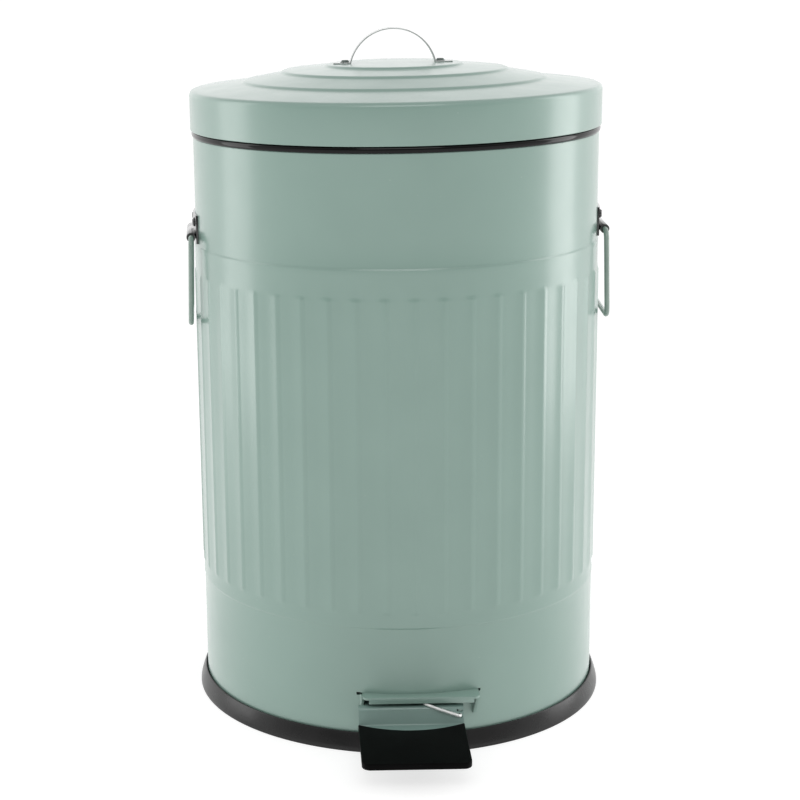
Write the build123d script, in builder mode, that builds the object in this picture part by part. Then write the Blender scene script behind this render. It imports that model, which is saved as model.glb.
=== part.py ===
from build123d import *
import os
from math import asin, cos, degrees, radians, sin, sqrt, tan

os.makedirs("parts", exist_ok=True)

# Retro pedal bin of 12 litres, in millimetres. The origin is on the floor, on the axis of the drum.
# +Z is up, the pedal points along -Y and +X is to the right of a person who faces the pedal.

# Fits
clearance = 0.3
seat_gap = 0.05
pin_clearance = 0.05

# Drum
drum_radius = 125.0
drum_wall = 1.0
drum_top = 358.4
drum_bottom = 3.0
drum_notch_depth = 6.0
panel_swell = 0.7
panel_drop = 64.9
panel_bottom = 78.5
panel_step = 1.6
lower_band_swell = 0.5
rib_count = 47
rib_height = 0.6
rib_half_width = 7.4
rib_sink = 0.25
rib_lap_run = 1.2
rib_lap_height = 0.2
rib_turn = 1.75
rib_drop = 18.0
rib_bottom = 86.0

# Base
ring_foot_out = 5.2
ring_height = 11.5
ring_top_out = 1.7
ring_inner_in = 11.0
ring_toe = 1.5
ledge_height = 4.5
upstand_height = 9.0
upstand_thickness = 1.7
base_plate_thickness = 1.2

# Collar in the mouth of the drum
collar_out = 0.9
collar_band = 3.6
plug_depth = 8.4
plug_thickness = 1.6
rim_in = 3.6
rim_thickness = 1.8
rim_height = 5.0
riser_in = 7.8
riser_thickness = 1.6
seat_in = 13.5
seat_depth = 6.4
seat_thickness = 2.5
notch_half_width = 14.0

# Lid
lid_out = 1.6
lid_wall = 1.2
lid_gap = 0.3
lid_hem = 0.7
lid_skirt = 24.0
lid_fold_radius = 1.8
lid_step_radii = (93.0, 69.5, 42.3)
lid_step_rises = (3.7, 9.1, 12.3)
lid_step_height = 1.5
lid_step_run = 1.8
lid_slot_half_width = 12.0
lid_slot_height = 14.5

# Handle on the lid
handle_shift = -0.9
strap_radius = 27.2
strap_thickness = 0.8
strap_width = 10.0
strap_rise = 21.4
strap_reach = 36.6
handle_rivet_place = 29.3

# Rear hinge
hinge_rise = 12.6
hinge_set_out = 9.5
hinge_pin_radius = 1.6
pin_head_radius = 2.6
pin_head_height = 1.2
knuckle_radius = 4.2
ear_thickness = 1.6
lid_ear_place = 7.2
drum_ear_place = 9.6
leaf_half_width = 19.0
leaf_thickness = 1.4
leaf_rivet_place = 15.5
lid_leaf_lift = 4.2
lid_leaf_height = 16.0
drum_leaf_height = 20.0
drum_leaf_drop = 3.0
lid_open_angle = 75.0
crank_radius = 4.2
crank_slot_clearance = 0.7
lug_clearance = 0.4

# Push rod and its guides
rod_radius = 2.0
rod_in = 6.0
rod_reach = 12.4
rod_bend_radius = 4.0
rod_clip_radius = 4.0
rod_clip_thickness = 1.0
rod_clip_place = 9.6
low_guide_height = 120.0
high_guide_drop = 68.4
guide_height = 12.0
guide_half_width = 7.0
guide_cover = 4.0

# Pedal lever
pivot_in = 41.3
pivot_height = 26.0
pivot_radius = 2.0
lever_thickness = 1.6
shelf_height = 30.6
shelf_half_width = 27.0
shelf_rear_in = 13.0
shelf_step_out = 1.6
web_half_width = 31.2
web_top_out = 5.0
web_foot_out = 7.2
web_bend_radius = 2.2
foot_height = 19.8
foot_slope = 3.6
foot_length = 48.4
foot_half_width = 27.0
arm_half_width = 8.0
arm_bend_reach = 23.7
flange_depth = 8.6
tail_height = 16.0
tail_bend_reach = 15.0
tail_reach = 3.6
lug_depth = 5.2
relief_hole_place = 28.8
relief_hole_height = 27.9
relief_hole_width = 3.6
relief_hole_depth = 1.5

# Pedal pad
pad_half_width = 31.6
pad_front_cover = 2.6
pad_rear_gap = 1.2
pad_rear_bow = 8.4
pad_cover = 1.2
pad_under = 0.9
pad_corner = 5.0
pad_edge = 0.7

# Bracket of the pedal
bracket_thickness = 1.8
bracket_half_length = 15.0
bracket_foot_reach = 20.0
bracket_ear_radius = 5.0
bracket_rivet_place = 15.6
bracket_rivet_spread = 9.0
side_play = 0.6
pivot_head_radius = 3.4
pivot_head_height = 1.4

# Opening of the drum for the lever, and the guard above it
opening_half_width = 29.0
opening_bottom = 23.0
opening_top = 33.2
guard_left = 28.5
guard_right = 41.0
guard_front_out = 6.4
guard_top = 36.6
guard_thickness = 1.4
guard_lip = 3.8
guard_corner = 3.5
guard_rear_in = 8.0
guard_hook_height = 7.0
guard_hook_half_width = 24.0
gusset_angle = 15.0
gusset_run = 14.0
gusset_drop = 13.2
slit_left = 32.0
slit_right = 42.5

# Spring wire on the pedal
wire_radius = 1.0
wire_start_place = 4.0
wire_shelf_place = 9.0
wire_web_place = 16.5
wire_web_height = 29.2
wire_end_place = 29.2
wire_hole_radius = 1.5
wire_end_height = 24.9
wire_bend_radius = 1.6

# Side handles
handle_angle = 88.0
bail_axis_out = 2.9
bail_axis_drop = 60.0
bail_wire_radius = 1.6
bail_lean = 1.5
bail_width = 60.0
bail_drop = 52.8
bail_corner = 6.0
bail_ends_gap = 1.0
barrel_length = 44.0
barrel_radius = 2.8
plate_half_width = 21.0
plate_rise = 13.1
plate_drop = 4.4
plate_thickness = 1.3
plate_rivet_spread = 15.0
plate_rivet_rise = 8.6

# Rivets
shank_radius = 1.5
rivet_head_radius = 2.9
rivet_head_height = 1.4
rivet_taper = 35.0

# Inner bucket
bucket_rim_in = 3.2
bucket_rim_thickness = 2.0
bucket_mouth_in = 1.1
bucket_mouth_depth = 10.0
bucket_shoulder = 3.6
bucket_taper = 13.4
bucket_bottom = 50.0
bucket_wall = 1.6
bucket_bail_in = 3.4
bucket_bail_wire = 1.5

# Worked out from the sizes above
drum_inner_radius = drum_radius - drum_wall
panel_radius = drum_radius + panel_swell
panel_top = drum_top - panel_drop
lower_band_radius = drum_radius + lower_band_swell
rib_top = panel_top - rib_drop
ring_radius = drum_radius + ring_foot_out
ring_top_radius = drum_radius + ring_top_out
ring_inner_radius = drum_radius - ring_inner_in
collar_radius = drum_radius + collar_out
rim_radius = drum_radius - rim_in
riser_radius = drum_radius - riser_in
seat_radius = drum_radius - seat_in
lid_radius = drum_radius + lid_out
collar_top = drum_top + collar_band
lid_bottom = collar_top + lid_gap
lid_fold = lid_bottom + lid_skirt
lid_step_feet = [lid_fold + rise for rise in lid_step_rises]
lid_crown = lid_step_feet[-1] + lid_step_height
lid_leaf_bottom = lid_bottom + lid_leaf_lift
seat_top = drum_top - seat_depth
plug_radius = drum_inner_radius - clearance
hinge_place = drum_radius + hinge_set_out
hinge_height = drum_top + hinge_rise
rod_place = drum_radius - rod_in
guide_heights = (low_guide_height, drum_top - high_guide_drop)
guide_front = rod_place - guide_cover
pivot_place = drum_radius - pivot_in
shelf_rear = drum_radius - shelf_rear_in
shelf_step = drum_radius + shelf_step_out
web_top_place = drum_radius + web_top_out
web_foot_place = drum_radius + web_foot_out
foot_end = web_foot_place + foot_length
arm_bend_place = pivot_place - arm_bend_reach
tail_bend_place = rod_place - tail_bend_reach
tail_end = rod_place + tail_reach
pad_front = foot_end + pad_front_cover
pad_rear = web_foot_place + pad_rear_gap
guard_front = drum_radius + guard_front_out
guard_rear = drum_radius - guard_rear_in
bail_axis_radius = drum_radius + bail_axis_out
bail_axis_height = drum_top - bail_axis_drop
plate_top = bail_axis_height + plate_rise
plate_bottom = bail_axis_height - plate_drop
plate_rivet_height = bail_axis_height + plate_rivet_rise
bucket_rim_radius = riser_radius - bucket_rim_in
bucket_mouth_radius = seat_radius - bucket_mouth_in
bucket_bottom_radius = bucket_mouth_radius - bucket_taper
bucket_bail_radius = bucket_mouth_radius - bucket_bail_in
half_swing = radians(lid_open_angle / 2)
crank_run = hinge_place - rod_place
crank_drop = crank_run * tan(half_swing)
crank_length = crank_run / cos(half_swing)
rod_top = hinge_height - crank_drop
pedal_angle = degrees(asin(2 * crank_drop / (pivot_place + rod_place)))
base_plate_top = ledge_height + base_plate_thickness
upstand_radius = drum_inner_radius - seat_gap
handle_height = lid_crown + strap_thickness


def wall_plane(angle, height, radius):
    """A plane that touches the drum at an angle from the front; its z points outwards."""
    turn = radians(angle)
    return Plane(
        origin=(radius * sin(turn), -radius * cos(turn), height),
        x_dir=(cos(turn), sin(turn), 0),
        z_dir=(sin(turn), -cos(turn), 0),
    )


def rear_wall_point(side, radius):
    """The angle from the front, in degrees, of a place at a sideways distance on the rear wall."""
    return 180 - degrees(asin(side / radius))


def disc_on(plane, radius, height, mode=Mode.ADD):
    """Add or cut a cylinder that stands on a plane."""
    with BuildSketch(plane) as disc:
        Circle(radius)
    extrude(disc.sketch, amount=height, mode=mode)


def rivet_on(plane, grip):
    """Add a rivet whose domed head sits on a plane and whose shank goes down through the grip."""
    with BuildSketch(plane) as head:
        Circle(rivet_head_radius)
    extrude(head.sketch, amount=rivet_head_height, taper=rivet_taper)
    disc_on(plane, shank_radius, -grip)
    disc_on(plane.offset(-grip), rivet_head_radius * 0.8, -rivet_head_height * 0.6)


def rivet_hole_on(plane, depth):
    """Cut a rivet's hole down through a wall."""
    disc_on(plane.offset(depth), shank_radius + seat_gap, -2 * depth, Mode.SUBTRACT)


def side_profile(points, first, second):
    """Add a plate with an outline of (y, z) points between two sideways places."""
    with BuildSketch(Plane.YZ.offset(first)) as profile:
        with BuildLine():
            Polyline(*points, close=True)
        make_face()
    extrude(profile.sketch, amount=second - first)


def turned(points):
    """Add a solid of revolution about the axis of the drum from (radius, height) points."""
    with BuildSketch(Plane.XZ) as section:
        with BuildLine():
            Polyline(*points, close=True)
        make_face()
    revolve(section.sketch, axis=Axis.Z)


def write(piece, name):
    """Label a finished piece and write it to its own file."""
    piece.part.label = name
    export_step(piece.part, f"parts/{name}.step")


handle_rivet_planes = [
    wall_plane(side * handle_angle + offset, plate_rivet_height, drum_radius + seat_gap + plate_thickness)
    for side in (-1, 1)
    for offset in (-degrees(plate_rivet_spread / drum_radius), degrees(plate_rivet_spread / drum_radius))
]
drum_leaf_middle = drum_top - drum_leaf_drop - drum_leaf_height / 2
drum_leaf_rivet_planes = [
    wall_plane(rear_wall_point(side, drum_radius), drum_leaf_middle, drum_radius + seat_gap + leaf_thickness)
    for side in (-leaf_rivet_place, leaf_rivet_place)
]
lid_leaf_rivet_planes = [
    wall_plane(rear_wall_point(side, lid_radius), lid_leaf_bottom + lid_leaf_height / 2, lid_radius)
    for side in (-leaf_rivet_place, leaf_rivet_place)
]
bracket_rivet_planes = [
    Plane((side * bracket_rivet_place, -pivot_place + along * bracket_rivet_spread,
           base_plate_top + bracket_thickness))
    for side in (-1, 1)
    for along in (-1, 1)
]
handle_rivet_planes_on_lid = [
    Plane((handle_shift + side * handle_rivet_place, 0, handle_height)) for side in (-1, 1)
]

# Drum: a rolled and beaded sheet with ribs, open at both ends
with BuildPart() as drum_shell:
    turned([
        (drum_inner_radius, drum_bottom),
        (lower_band_radius, drum_bottom),
        (lower_band_radius, panel_bottom - panel_step),
        (panel_radius, panel_bottom),
        (panel_radius, panel_top - panel_step),
        (drum_radius, panel_top),
        (drum_radius, drum_top),
        (drum_inner_radius, drum_top),
    ])
    with BuildSketch(Plane.XY.offset(rib_bottom)):
        with PolarLocations(panel_radius, rib_count, start_angle=rib_turn - 90):
            Polygon(
                (-rib_height, -rib_half_width),
                (-rib_sink, -rib_half_width),
                (rib_height, 0),
                (rib_lap_height, rib_lap_run),
                (-rib_sink, rib_half_width),
                (-rib_height, rib_half_width),
                align=None,
            )
    extrude(amount=rib_top - rib_bottom)
    with Locations((0, -drum_radius, (opening_bottom + opening_top) / 2)):
        Box(2 * opening_half_width, drum_radius / 5, opening_top - opening_bottom, mode=Mode.SUBTRACT)
    with Locations(((slit_right - slit_left) / 2, -drum_radius, guard_top - guard_thickness / 2)):
        Box(slit_left + slit_right, drum_radius / 5, guard_thickness + 2 * clearance, mode=Mode.SUBTRACT)
    with Locations((0, drum_radius, drum_top)):
        Box(2 * notch_half_width, drum_radius / 5, 2 * drum_notch_depth, mode=Mode.SUBTRACT)
    for plane in handle_rivet_planes + drum_leaf_rivet_planes:
        rivet_hole_on(plane, plate_thickness + panel_radius - drum_inner_radius + clearance)
write(drum_shell, "drum_shell")

# Base ring: a moulded skirt with a groove that takes the lower edge of the drum
with BuildPart() as base_ring:
    turned([
        (ring_inner_radius, 0),
        (ring_radius, 0),
        (ring_radius, ring_toe),
        (ring_top_radius, ring_height),
        (lower_band_radius + seat_gap, ring_height),
        (lower_band_radius + seat_gap, drum_bottom),
        (upstand_radius, drum_bottom),
        (upstand_radius, upstand_height),
        (upstand_radius - upstand_thickness, upstand_height),
        (upstand_radius - upstand_thickness, ledge_height),
        (ring_inner_radius, ledge_height),
    ])
write(base_ring, "base_ring")

# Base plate: a pressed disc on the ledge of the ring
with BuildPart() as base_plate:
    with BuildSketch(Plane.XY.offset(ledge_height)):
        Circle(upstand_radius - upstand_thickness - seat_gap)
    extrude(amount=base_plate_thickness)
    for plane in bracket_rivet_planes:
        rivet_hole_on(plane, bracket_thickness + 2 * base_plate_thickness)
write(base_plate, "base_plate")

# Collar: a moulded ring that covers the edge of the drum and carries the bucket
with BuildPart() as top_collar:
    turned([
        (seat_radius, seat_top - seat_thickness),
        (riser_radius + riser_thickness, seat_top - seat_thickness),
        (riser_radius + riser_thickness, drum_top),
        (plug_radius - plug_thickness, drum_top),
        (plug_radius - plug_thickness, drum_top - plug_depth),
        (plug_radius, drum_top - plug_depth),
        (plug_radius, drum_top),
        (collar_radius - 0.5, drum_top),
        (collar_radius, drum_top + 0.9),
        (collar_radius, collar_top - 0.9),
        (collar_radius - 0.5, collar_top),
        (rim_radius, collar_top),
        (rim_radius, collar_top + rim_height),
        (rim_radius - rim_thickness, collar_top + rim_height),
        (rim_radius - rim_thickness, collar_top),
        (riser_radius, collar_top),
        (riser_radius, seat_top),
        (seat_radius, seat_top),
    ])
    with Locations((0, rod_place - crank_radius - clearance, seat_top)):
        Box(2 * notch_half_width, drum_radius / 4, 2 * drum_radius / 5,
            align=(Align.CENTER, Align.MIN, Align.CENTER), mode=Mode.SUBTRACT)
write(top_collar, "top_collar")

# Lid: a skirt and a low dome with three pressed steps
dome = [(lid_radius - lid_fold_radius, lid_fold)]
for radius, foot in zip(lid_step_radii, lid_step_feet):
    dome.append((radius + lid_step_run / 2, foot))
    dome.append((radius - lid_step_run / 2, foot + lid_step_height))
dome.append((0, lid_crown))
with BuildPart() as lid_shell:
    turned(
        [
            (lid_radius - lid_hem, lid_bottom),
            (lid_radius, lid_bottom + lid_hem),
            (lid_radius, lid_fold - lid_fold_radius),
        ]
        + dome
        + [(radius, height - lid_wall) for radius, height in reversed(dome[1:])]
        + [
            (lid_radius - lid_wall - lid_fold_radius, lid_fold - lid_wall),
            (lid_radius - lid_wall, lid_fold - lid_wall - lid_fold_radius),
            (lid_radius - lid_wall, lid_bottom),
        ]
    )
    with Locations((0, drum_radius, lid_bottom)):
        Box(2 * lid_slot_half_width, drum_radius / 5, lid_slot_height,
            align=(Align.CENTER, Align.CENTER, Align.MIN), mode=Mode.SUBTRACT)
    for plane in lid_leaf_rivet_planes:
        rivet_hole_on(plane, 2 * lid_wall)
    for plane in handle_rivet_planes_on_lid:
        rivet_hole_on(plane, 3 * lid_wall)
write(lid_shell, "lid_shell")

# Handle on the lid: a bright strap bent to an arc with two flat feet
arc_height = lid_crown + strap_rise - strap_radius
with BuildPart() as lid_handle:
    with BuildSketch(Plane.XZ) as strap:
        with Locations((handle_shift, arc_height)):
            Circle(strap_radius)
            Circle(strap_radius - strap_thickness, mode=Mode.SUBTRACT)
        with Locations((handle_shift, lid_crown)):
            Rectangle(4 * strap_radius, 4 * strap_radius, align=(Align.CENTER, Align.MAX), mode=Mode.SUBTRACT)
        foot_start = sqrt(strap_radius**2 - (lid_crown - arc_height) ** 2) - strap_thickness
        for side in (-1, 1):
            with Locations((handle_shift + side * (foot_start + strap_reach) / 2, lid_crown)):
                Rectangle(strap_reach - foot_start, strap_thickness, align=(Align.CENTER, Align.MIN))
    extrude(amount=strap_width / 2, both=True)
    for plane in handle_rivet_planes_on_lid:
        rivet_hole_on(plane, 2 * strap_thickness)
write(lid_handle, "lid_handle")

with BuildPart() as lid_handle_rivets:
    for plane in handle_rivet_planes_on_lid:
        rivet_on(plane, strap_thickness + lid_wall)
write(lid_handle_rivets, "lid_handle_rivets")

# Rear hinge, the half on the lid: a leaf inside the skirt, two ears, and a crank for the push rod
crank_direction = (-cos(half_swing), -sin(half_swing))
slot_start = crank_run
slot_end = crank_length


def crank_point(distance):
    """A place on the crank, as (y, z), at a distance from the hinge."""
    return (hinge_place + distance * crank_direction[0], hinge_height + distance * crank_direction[1])


with BuildPart() as lid_hinge_bracket:
    with BuildSketch(Plane.XY.offset(lid_leaf_bottom)):
        Circle(lid_radius - lid_wall - seat_gap)
        Circle(lid_radius - lid_wall - seat_gap - leaf_thickness, mode=Mode.SUBTRACT)
        with Locations((0, drum_radius)):
            Rectangle(2 * leaf_half_width, drum_radius / 5, mode=Mode.INTERSECT)
    extrude(amount=lid_leaf_height)
    for plane in lid_leaf_rivet_planes:
        rivet_hole_on(plane, 2 * (lid_wall + leaf_thickness))
    leaf_inside = lid_radius - lid_wall - leaf_thickness
    for side in (-1, 1):
        with BuildSketch(Plane.YZ.offset(side * lid_ear_place)) as ear:
            with Locations((hinge_place, hinge_height)):
                Circle(knuckle_radius)
            with Locations((leaf_inside + leaf_thickness / 2, lid_leaf_bottom + ear_thickness)):
                Rectangle(leaf_thickness / 2, lid_leaf_height / 2, align=(Align.CENTER, Align.MIN))
            make_hull()
        extrude(ear.sketch, amount=ear_thickness / 2, both=True)
    with BuildSketch(Plane.YZ.offset(lid_ear_place)) as crank:
        with Locations((hinge_place, hinge_height)):
            Circle(knuckle_radius - clearance)
        with Locations(crank_point(slot_start), crank_point(slot_end)):
            Circle(crank_radius)
        make_hull()
    extrude(crank.sketch, amount=ear_thickness / 2, both=True)
    with BuildSketch(Plane.YZ.offset(lid_ear_place)) as crank_slot:
        with Locations(crank_point(slot_start), crank_point(slot_end)):
            Circle(rod_radius + crank_slot_clearance)
        make_hull()
    extrude(crank_slot.sketch, amount=ear_thickness, both=True, mode=Mode.SUBTRACT)
    with BuildSketch(Plane.YZ) as bore:
        with Locations((hinge_place, hinge_height)):
            Circle(hinge_pin_radius + pin_clearance)
    extrude(bore.sketch, amount=2 * drum_ear_place, both=True, mode=Mode.SUBTRACT)
write(lid_hinge_bracket, "lid_hinge_bracket")

with BuildPart() as lid_hinge_rivets:
    for plane in lid_leaf_rivet_planes:
        rivet_on(plane, lid_wall + leaf_thickness + 2 * seat_gap)
write(lid_hinge_rivets, "lid_hinge_rivets")

# Rear hinge, the half on the drum: a curved leaf with two ears that hold the pin
drum_leaf_top = drum_top - drum_leaf_drop
drum_leaf_bottom = drum_leaf_top - drum_leaf_height
with BuildPart() as drum_hinge_bracket:
    for side in (-1, 1):
        side_profile(
            [
                (drum_radius - leaf_thickness, drum_leaf_bottom + ear_thickness),
                (drum_radius - leaf_thickness, drum_leaf_top - ear_thickness),
                (drum_radius + 2 * leaf_thickness, drum_leaf_top),
                (hinge_place - knuckle_radius, hinge_height),
                (hinge_place + knuckle_radius, hinge_height),
                (hinge_place + knuckle_radius / 2, drum_top),
                (drum_radius + 2 * leaf_thickness, drum_leaf_bottom + ear_thickness),
            ],
            side * drum_ear_place - ear_thickness / 2,
            side * drum_ear_place + ear_thickness / 2,
        )
    for side in (-1, 1):
        with BuildSketch(Plane.YZ.offset(side * drum_ear_place)) as knuckle:
            with Locations((hinge_place, hinge_height)):
                Circle(knuckle_radius)
        extrude(knuckle.sketch, amount=ear_thickness / 2, both=True)
    with BuildSketch(Plane.XY.offset(drum_leaf_bottom)) as leaf:
        Circle(drum_radius + seat_gap + leaf_thickness)
        with Locations((0, drum_radius)):
            Rectangle(2 * leaf_half_width, drum_radius / 5, mode=Mode.INTERSECT)
    extrude(leaf.sketch, amount=drum_leaf_height)
    with BuildSketch(Plane.XY.offset(drum_leaf_bottom)) as wall:
        Circle(drum_radius + seat_gap)
    extrude(wall.sketch, amount=drum_leaf_height, mode=Mode.SUBTRACT)
    for plane in drum_leaf_rivet_planes:
        rivet_hole_on(plane, 2 * leaf_thickness)
    with BuildSketch(Plane.YZ) as bore:
        with Locations((hinge_place, hinge_height)):
            Circle(hinge_pin_radius)
    extrude(bore.sketch, amount=2 * drum_ear_place, both=True, mode=Mode.SUBTRACT)
write(drum_hinge_bracket, "drum_hinge_bracket")

with BuildPart() as drum_hinge_rivets:
    for plane in drum_leaf_rivet_planes:
        rivet_on(plane, leaf_thickness + 2 * seat_gap + drum_radius - drum_inner_radius)
write(drum_hinge_rivets, "drum_hinge_rivets")

with BuildPart() as hinge_pin:
    with BuildSketch(Plane.YZ) as pin:
        with Locations((hinge_place, hinge_height)):
            Circle(hinge_pin_radius)
    extrude(pin.sketch, amount=drum_ear_place + ear_thickness / 2, both=True)
    for side in (-1, 1):
        with BuildSketch(Plane.YZ.offset(side * (drum_ear_place + ear_thickness / 2))) as head:
            with Locations((hinge_place, hinge_height)):
                Circle(pin_head_radius)
        extrude(head.sketch, amount=side * pin_head_height)
write(hinge_pin, "hinge_pin")

# Push rod: a wire with both ends bent sideways, into the crank above and the lever's tail below
with BuildPart() as push_rod:
    with BuildLine(Plane.XZ.offset(-rod_place)) as rod_path:
        FilletPolyline(
            (rod_reach, tail_height),
            (0, tail_height),
            (0, rod_top),
            (rod_reach, rod_top),
            radius=rod_bend_radius,
        )
    with BuildSketch(Plane((rod_reach, rod_place, tail_height), x_dir=(0, 1, 0), z_dir=(-1, 0, 0))) as rod:
        Circle(rod_radius)
    sweep(rod.sketch, path=rod_path.line)
write(push_rod, "push_rod")

with BuildPart() as rod_clips:
    for height in (tail_height, rod_top):
        with BuildSketch(Plane.YZ.offset(rod_clip_place)) as clip:
            with Locations((rod_place, height)):
                Circle(rod_clip_radius)
                Circle(rod_radius, mode=Mode.SUBTRACT)
        extrude(clip.sketch, amount=rod_clip_thickness)
write(rod_clips, "rod_clips")

with BuildPart() as rod_guides:
    for height in guide_heights:
        with BuildSketch(Plane.XY.offset(height)) as guide:
            with Locations((0, guide_front)):
                Rectangle(2 * guide_half_width, 2 * guide_half_width, align=(Align.CENTER, Align.MIN))
            Circle(drum_inner_radius - seat_gap, mode=Mode.INTERSECT)
            with Locations((0, rod_place)):
                Circle(rod_radius + 2 * pin_clearance, mode=Mode.SUBTRACT)
        extrude(guide.sketch, amount=guide_height)
write(rod_guides, "rod_guides")

# Pedal lever: a pressed plate that steps down outside the drum, with a flanged arm inside
foot_drop = tan(radians(foot_slope))
with BuildPart() as pedal_lever:
    with BuildSketch(Plane.YZ) as pressed:
        with BuildLine():
            FilletPolyline(
                (-shelf_rear, shelf_height - lever_thickness / 2),
                (-web_top_place, shelf_height - lever_thickness / 2),
                (-web_foot_place, foot_height - lever_thickness / 2),
                (-foot_end, foot_height - lever_thickness / 2 - foot_drop * (foot_end - web_foot_place)),
                radius=web_bend_radius,
            )
        trace(line_width=lever_thickness)
    extrude(pressed.sketch, amount=web_half_width, both=True)
    for side in (-1, 1):
        with Locations((side * shelf_half_width, -shelf_step, shelf_height)):
            Box(web_half_width, drum_radius / 4, lever_thickness * 4,
                align=(Align.MIN if side > 0 else Align.MAX, Align.MIN, Align.CENTER), mode=Mode.SUBTRACT)
        with Locations((side * foot_half_width, -web_foot_place - web_bend_radius, foot_height)):
            Box(web_half_width, foot_end, lever_thickness * 8,
                align=(Align.MIN if side > 0 else Align.MAX, Align.MAX, Align.CENTER), mode=Mode.SUBTRACT)
    tail_top = tail_height + lug_depth + lever_thickness
    lug_start = 2 * rod_place - tail_end
    arm_top = [
        (-shelf_rear - lever_thickness, shelf_height),
        (-arm_bend_place, shelf_height),
        (tail_bend_place, tail_top),
        (tail_end, tail_top),
    ]
    arm_bottom = [(place, height - lever_thickness) for place, height in reversed(arm_top)]
    side_profile(arm_top + arm_bottom, -arm_half_width, arm_half_width)
    flange = [
        (-shelf_rear + lever_thickness, shelf_height - lever_thickness / 2),
        (-arm_bend_place, shelf_height - lever_thickness / 2),
        (tail_bend_place, tail_top - lever_thickness / 2),
        (tail_bend_place, tail_top - flange_depth * 0.6),
        (-arm_bend_place, shelf_height - flange_depth - lever_thickness / 2),
        (-pivot_place - arm_half_width, shelf_height - flange_depth - lever_thickness / 2),
    ]
    side_profile(flange, -arm_half_width, lever_thickness - arm_half_width)
    side_profile(flange, arm_half_width - lever_thickness, arm_half_width)
    side_profile(
        [
            (lug_start, tail_top - lever_thickness / 2),
            (tail_end, tail_top - lever_thickness / 2),
            (tail_end, tail_height - lug_depth),
            (lug_start, tail_height - lug_depth),
        ],
        arm_half_width - lever_thickness,
        arm_half_width,
    )
    with Locations((0, rod_place - 2 * rod_radius, tail_top)):
        Box(arm_half_width, tail_end, 4 * lever_thickness,
            align=(Align.CENTER, Align.MIN, Align.CENTER), mode=Mode.SUBTRACT)
    with BuildSketch(Plane.YZ) as lever_bores:
        with Locations((-pivot_place, pivot_height)):
            Circle(pivot_radius + pin_clearance)
        with Locations((rod_place, tail_height)):
            Circle(rod_radius + lug_clearance)
    extrude(lever_bores.sketch, amount=2 * arm_half_width, both=True, mode=Mode.SUBTRACT)
    with BuildSketch(Plane.XZ.offset(shelf_rear + 2 * web_bend_radius)) as web_holes:
        with Locations((relief_hole_place, relief_hole_height)):
            SlotOverall(relief_hole_width, relief_hole_depth)
        with Locations((wire_end_place, wire_end_height)):
            Circle(wire_hole_radius)
    extrude(web_holes.sketch, amount=foot_end - shelf_rear, mode=Mode.SUBTRACT)
write(pedal_lever, "pedal_lever")

# Pad: a moulded cap over the foot of the lever, with a hollowed rear edge
foot_plane = Plane(
    origin=(0, -web_foot_place, foot_height),
    x_dir=(1, 0, 0),
    z_dir=(0, -sin(radians(foot_slope)), cos(radians(foot_slope))),
)
pad_start = -(pad_rear - web_foot_place)
pad_finish = -(pad_front - web_foot_place)
with BuildPart() as pedal_pad:
    with BuildSketch(foot_plane.offset(pad_cover)):
        with BuildLine():
            Polyline(
                (-pad_half_width, pad_start),
                (-pad_half_width, pad_finish),
                (pad_half_width, pad_finish),
                (pad_half_width, pad_start),
            )
            ThreePointArc((-pad_half_width, pad_start), (0, pad_start - pad_rear_bow), (pad_half_width, pad_start))
        make_face()
        fillet(vertices().group_by(Axis.Y)[0], pad_corner)
    extrude(amount=-(pad_cover + lever_thickness + pad_under))
    fillet(faces().sort_by(Axis.Z)[-1].edges().sort_by(Axis.Y)[:-1], pad_edge)
    add(pedal_lever.part, mode=Mode.SUBTRACT)
write(pedal_pad, "pedal_pad")

# Spring wire: it lies on the shelf, crosses the web and hooks through a hole near its edge
web_lean = (web_foot_place - web_top_place) / (shelf_height - foot_height)
wire_on_shelf = shelf_height + wire_radius + seat_gap


def web_front(height):
    """How far in front of the axis the middle of a wire on the web stands at a height."""
    middle = web_top_place + web_lean * (shelf_height - lever_thickness / 2 - height)
    return middle + lever_thickness / 2 + wire_radius + 3 * seat_gap


with BuildPart() as pedal_wire:
    with BuildLine() as wire_path:
        FilletPolyline(
            (wire_start_place, -shelf_rear, wire_on_shelf),
            (wire_shelf_place, -web_top_place, wire_on_shelf),
            (wire_web_place, -web_front(wire_web_height), wire_web_height),
            (wire_end_place, -web_front(wire_end_height), wire_end_height),
            (wire_end_place, -web_front(wire_end_height) + 3 * lever_thickness, wire_end_height),
            radius=wire_bend_radius,
        )
    with BuildSketch(Plane(wire_path.line @ 0, z_dir=wire_path.line % 0)) as wire:
        Circle(wire_radius)
    sweep(wire.sketch, path=wire_path.line)
write(pedal_wire, "pedal_wire")

# Pedal bracket: a channel on the base plate that holds the pivot pin
bracket_ear_inner = arm_half_width + side_play
bracket_ear_outer = bracket_ear_inner + bracket_thickness
with BuildPart() as pedal_bracket:
    with BuildSketch(Plane.XY.offset(base_plate_top)):
        with Locations((0, -pivot_place)):
            RectangleRounded(2 * bracket_foot_reach, 2 * bracket_half_length, bracket_thickness)
    extrude(amount=bracket_thickness)
    for side in (-1, 1):
        with BuildSketch(Plane.YZ.offset(side * (bracket_ear_inner + bracket_ear_outer) / 2)) as ear:
            with Locations((-pivot_place, pivot_height)):
                Circle(bracket_ear_radius)
            with Locations((-pivot_place, base_plate_top)):
                Rectangle(2 * bracket_half_length, bracket_thickness, align=(Align.CENTER, Align.MIN))
            make_hull()
        extrude(ear.sketch, amount=bracket_thickness / 2, both=True)
    with BuildSketch(Plane.YZ) as bore:
        with Locations((-pivot_place, pivot_height)):
            Circle(pivot_radius)
    extrude(bore.sketch, amount=2 * bracket_ear_outer, both=True, mode=Mode.SUBTRACT)
    for plane in bracket_rivet_planes:
        rivet_hole_on(plane, 2 * bracket_thickness)
write(pedal_bracket, "pedal_bracket")

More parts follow.
